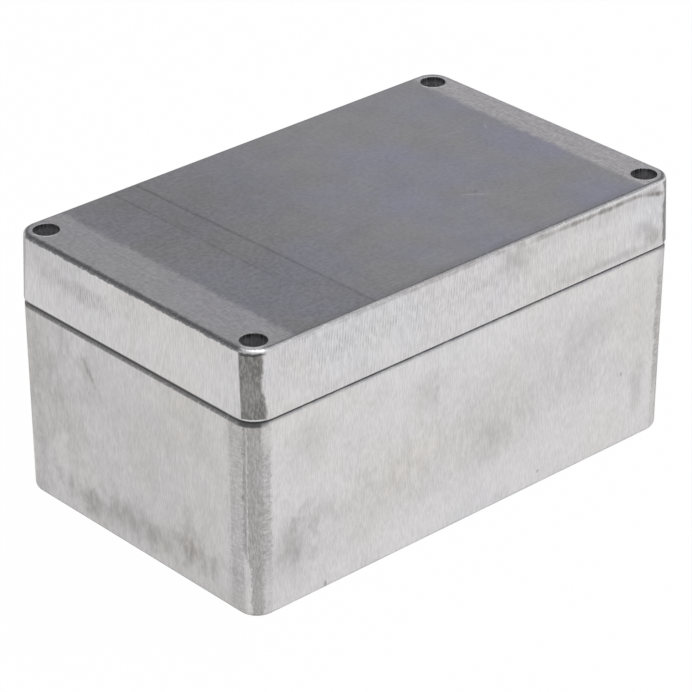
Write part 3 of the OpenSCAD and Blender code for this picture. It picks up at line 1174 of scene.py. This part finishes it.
@dataclass
class Fittings:
    """The seal, the captive screws with their rings, and the earth terminal."""

    corners: tuple[str, ...] = ("front_left", "front_right", "back_left", "back_right")
    thread_length: float = 8.2
    rubber: PlainFinish = PlainFinish("seal_rubber", (0.02, 0.02, 0.021), (0.035, 0.035, 0.036), 0.75, 0.0)
    steel: PlainFinish = PlainFinish("screw_steel", (0.55, 0.54, 0.52), (0.42, 0.41, 0.4), 0.34, 1.0)
    nylon: PlainFinish = PlainFinish("ring_nylon", (0.74, 0.71, 0.62), (0.66, 0.63, 0.54), 0.5, 0.0)
    zinc: PlainFinish = PlainFinish("earth_steel", (0.62, 0.6, 0.5), (0.5, 0.5, 0.46), 0.32, 1.0)

    def dress(self) -> list[str]:
        """Give the small pieces their finishes.

        Returns:
            The dressed nodes.
        """
        screws = [f"lid_screw_{corner}" for corner in self.corners]
        rings = [f"screw_ring_{corner}" for corner in self.corners]
        terminal = ["earth_screw", "earth_spring_washer", "earth_clamp_washer"]
        threaded = replace(self.steel, thread=Thread.from_frame(screws[0], self.thread_length))
        finishes = (self.rubber, threaded, self.nylon, self.zinc)
        dressed = []
        for finish, nodes in zip(finishes, (["lid_gasket"], screws, rings, terminal)):
            material = finish.build()
            for node in nodes:
                dress(node, material)
            dressed += nodes
        return dressed


# ---- Studio ----


@dataclass(frozen=True)
class Lamp:
    """A soft square lamp that points at the object."""

    name: str
    place: Triple
    size: float
    power: float

    def hang(self) -> None:
        """Put the lamp up."""
        light = bpy.data.lights.new(self.name, "AREA")
        light.shape = "SQUARE"
        light.size = self.size
        light.energy = self.power
        lamp = bpy.data.objects.new(self.name, light)
        lamp.location = self.place
        lamp.rotation_euler = (-Vector(self.place)).to_track_quat("-Z", "Y").to_euler()
        bpy.context.scene.collection.objects.link(lamp)


@dataclass
class Studio:
    """White floor, soft lamps and the camera."""

    azimuth: float = -42.47
    elevation: float = 28.44
    distance: float = 0.9747
    aim: Triple = (-0.0021, -0.0007, 0.0364)
    lens: float = 179.2
    floor_half: float = 6.0
    floor_drop: float = 0.0002
    floor_white: Triple = (0.86, 0.86, 0.86)
    floor_roughness: float = 0.9
    floor_seen_white: float = 0.985
    floor_mirrored_white: float = 0.5
    sky_high: Triple = (0.30, 0.30, 0.31)
    sky_low: Triple = (0.80, 0.80, 0.81)
    backdrop: Triple = (1.0, 1.0, 1.0)
    lamps: tuple[Lamp, ...] = (
        Lamp("overhead", (0.3, -0.35, 1.5), 1.8, 17.0),
        Lamp("right_side", (1.9, -1.7, 1.3), 2.0, 7.5),
    )

    def build(self) -> None:
        """Put up the floor, the lamps, the world and the camera."""
        self.build_floor()
        self.build_world()
        for lamp in self.lamps:
            lamp.hang()
        self.build_camera()

    def build_floor(self) -> None:
        """Lay a white floor that keeps the object's soft shadow."""
        mesh = bpy.data.meshes.new("floor")
        half = self.floor_half
        corners = [(-half, -half, 0), (half, -half, 0), (half, half, 0), (-half, half, 0)]
        mesh.from_pydata(corners, [], [(0, 1, 2, 3)])
        floor = bpy.data.objects.new("floor", mesh)
        floor.location.z = -self.floor_drop
        bpy.context.scene.collection.objects.link(floor)
        white = NodeMaterial("floor_white")
        white.feed("Base Color", self.floor_white)
        white.feed("Roughness", self.floor_roughness)
        graph = white.graph
        rays = graph.node("ShaderNodeLightPath")
        seen = graph.out(rays, "Is Camera Ray") * self.floor_seen_white
        mirrored = graph.out(rays, "Is Glossy Ray") * self.floor_mirrored_white
        shaders = {
            0: seen.at_least(mirrored),
            1: graph.out(white.shader),
            2: graph.out(graph.node("ShaderNodeEmission")),
        }
        mix = graph.out(graph.node("ShaderNodeMixShader", shaders))
        graph.feed(white.material.node_tree.nodes["Material Output"].inputs["Surface"], mix)
        mesh.materials.append(white.material)

    def build_world(self) -> None:
        """Surround the scene with light that is brightest low down, and white to the camera."""
        world = bpy.data.worlds.new("studio")
        bpy.context.scene.world = world
        world.use_nodes = True
        graph = Graph(world.node_tree)
        back = world.node_tree.nodes["Background"]
        height = graph.out(graph.node("ShaderNodeTexCoord"), "Generated").split()[2]
        sky = graph.colour(height.fade(0.7, 0.0), self.sky_high, self.sky_low)
        camera_ray = graph.out(graph.node("ShaderNodeLightPath"), "Is Camera Ray")
        graph.feed(back.inputs["Color"], graph.colour(camera_ray, sky, self.backdrop))
        back.inputs["Strength"].default_value = 1.0

    def build_camera(self) -> None:
        """Set the camera on its azimuth and elevation, looking at the aim."""
        turn, rise = math.radians(self.azimuth), math.radians(self.elevation)
        back = Vector((math.sin(turn) * math.cos(rise), -math.cos(turn) * math.cos(rise), math.sin(rise)))
        data = bpy.data.cameras.new("camera")
        data.lens = self.lens
        camera = bpy.data.objects.new("camera", data)
        camera.location = Vector(self.aim) + back * self.distance
        camera.rotation_euler = Euler((math.pi / 2 - rise, 0.0, turn))
        bpy.context.scene.collection.objects.link(camera)
        bpy.context.scene.camera = camera


def main() -> None:
    """Build and dress every sub-assembly, then the studio."""
    logging.basicConfig(level=logging.INFO, format="%(name)s: %(message)s")
    bpy.context.scene.view_settings.view_transform = "Standard"
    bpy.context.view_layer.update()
    sizes = BoxSizes.from_frame()
    effects = Effects.build()
    for assembly in (Castings(sizes, effects), Fittings()):
        for piece in assembly.dress():
            log.info("%s: %s", type(assembly).__name__, piece)
    Studio().build()


if __name__ == "__main__":
    main()
